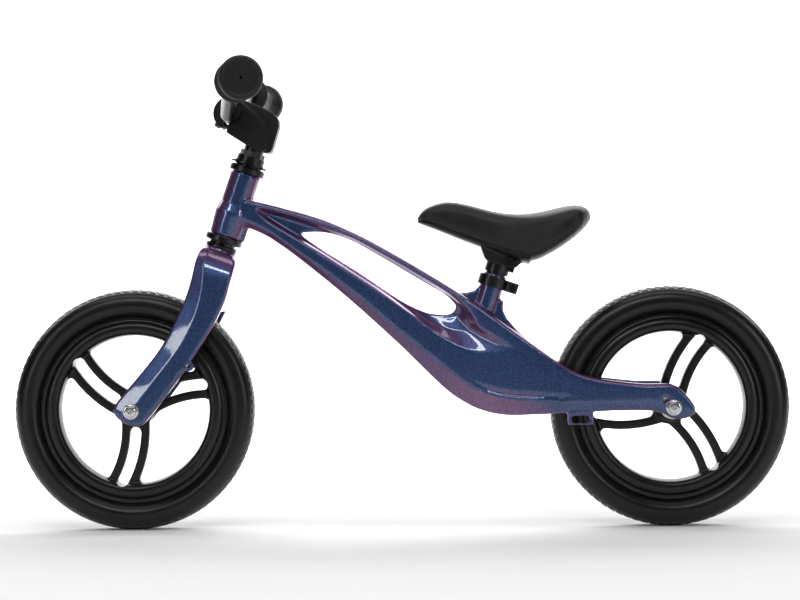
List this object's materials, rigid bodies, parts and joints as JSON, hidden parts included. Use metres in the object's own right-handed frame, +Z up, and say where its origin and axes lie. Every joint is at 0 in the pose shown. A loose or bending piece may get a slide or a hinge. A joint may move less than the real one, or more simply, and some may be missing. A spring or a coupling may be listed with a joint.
{
  "type": "balance bike",
  "caption": "Small child's balance bike with a cast open frame, cast fork, riser handlebar on a quill stem, foam tyres on spoked moulded wheels and a foam saddle on a post.",
  "frame": {"origin": "on the ground halfway between the two axles, on the middle plane", "axes": "+X to the back of the bike, +Y to the rider's left, +Z up; the handlebar end is -X"},
  "size_m": [0.86, 0.364, 0.5131],
  "materials": {
    "frame_paint": "glossy colour-shift metallic paint, blue to purple, with fine flakes under clear coat",
    "black_steel": "satin black steel",
    "silver_steel": "plain bright steel",
    "stem_black": "matte black paint on cast alloy",
    "bar_black": "gloss black paint",
    "grip_rubber": "matte moulded rubber",
    "tyre_foam": "matte closed-cell foam",
    "rim_plastic": "satin black moulded plastic",
    "saddle_plastic": "satin black moulded plastic",
    "saddle_foam": "matte black self-skinned foam with fine grain",
    "clear_steel": "polished bearing steel"
  },
  "bodies": {
    "frame": {"frame": "frame_paint", "upper_cup": "black_steel", "lower_cup": "black_steel", "seat_clamp_band": "black_steel", "seat_clamp_bolt": "black_steel", "seat_clamp_nut": "black_steel", "rear_axle": "silver_steel", "rear_axle_bolts": "silver_steel", "rear_washers": "silver_steel", "rear_spacers": "silver_steel"},
    "steering": {"fork": "frame_paint", "steerer_tube": "black_steel", "crown_race": "black_steel", "lower_balls": "clear_steel", "upper_balls": "clear_steel", "top_race": "black_steel", "dust_seal": "black_steel", "keyed_washer": "black_steel", "locknut": "black_steel", "front_axle": "silver_steel", "front_axle_bolts": "silver_steel", "front_washers": "silver_steel", "front_spacers": "silver_steel"},
    "stem": {"quill": "black_steel", "stem_body": "stem_black", "expander_wedge": "black_steel", "expander_bolt": "silver_steel", "clamp_cap": "stem_black", "clamp_bolts": "black_steel"},
    "handlebar": {"handlebar": "bar_black", "left_grip": "grip_rubber", "right_grip": "grip_rubber"},
    "front_wheel": {"front_tyre": "tyre_foam", "front_rim": "rim_plastic", "front_bearings": "clear_steel", "front_hub_sleeve": "silver_steel"},
    "rear_wheel": {"rear_tyre": "tyre_foam", "rear_rim": "rim_plastic", "rear_bearings": "clear_steel", "rear_hub_sleeve": "silver_steel"},
    "seat": {"seat_post": "black_steel", "saddle_bracket": "black_steel", "saddle_bolt": "black_steel", "saddle_nut": "black_steel", "saddle_base": "saddle_plastic", "saddle_cushion": "saddle_foam"}
  },
  "joints": [
    {"name": "steering_turn", "type": "hinge", "parent": "frame", "child": "steering", "pos_m": [-0.2658, 0, 0.12226], "axis": [0.3256, 0, 0.9455], "continuous": true},
    {"name": "stem_height", "type": "slide", "parent": "steering", "child": "stem", "axis": [0.3256, 0, 0.9455], "range_m": [0, 0.035]},
    {"name": "handlebar_tilt", "type": "hinge", "parent": "stem", "child": "handlebar", "pos_m": [-0.18752, 0, 0.46018], "axis": [0, 1, 0], "range_deg": [-15, 15]},
    {"name": "front_wheel_spin", "type": "hinge", "parent": "steering", "child": "front_wheel", "pos_m": [-0.297, 0, 0.133], "axis": [0, 1, 0], "continuous": true},
    {"name": "rear_wheel_spin", "type": "hinge", "parent": "frame", "child": "rear_wheel", "pos_m": [0.297, 0, 0.133], "axis": [0, 1, 0], "continuous": true},
    {"name": "seat_height", "type": "slide", "parent": "frame", "child": "seat", "axis": [0.3173, 0, 0.9483], "range_m": [0, 0.055]}
  ]
}
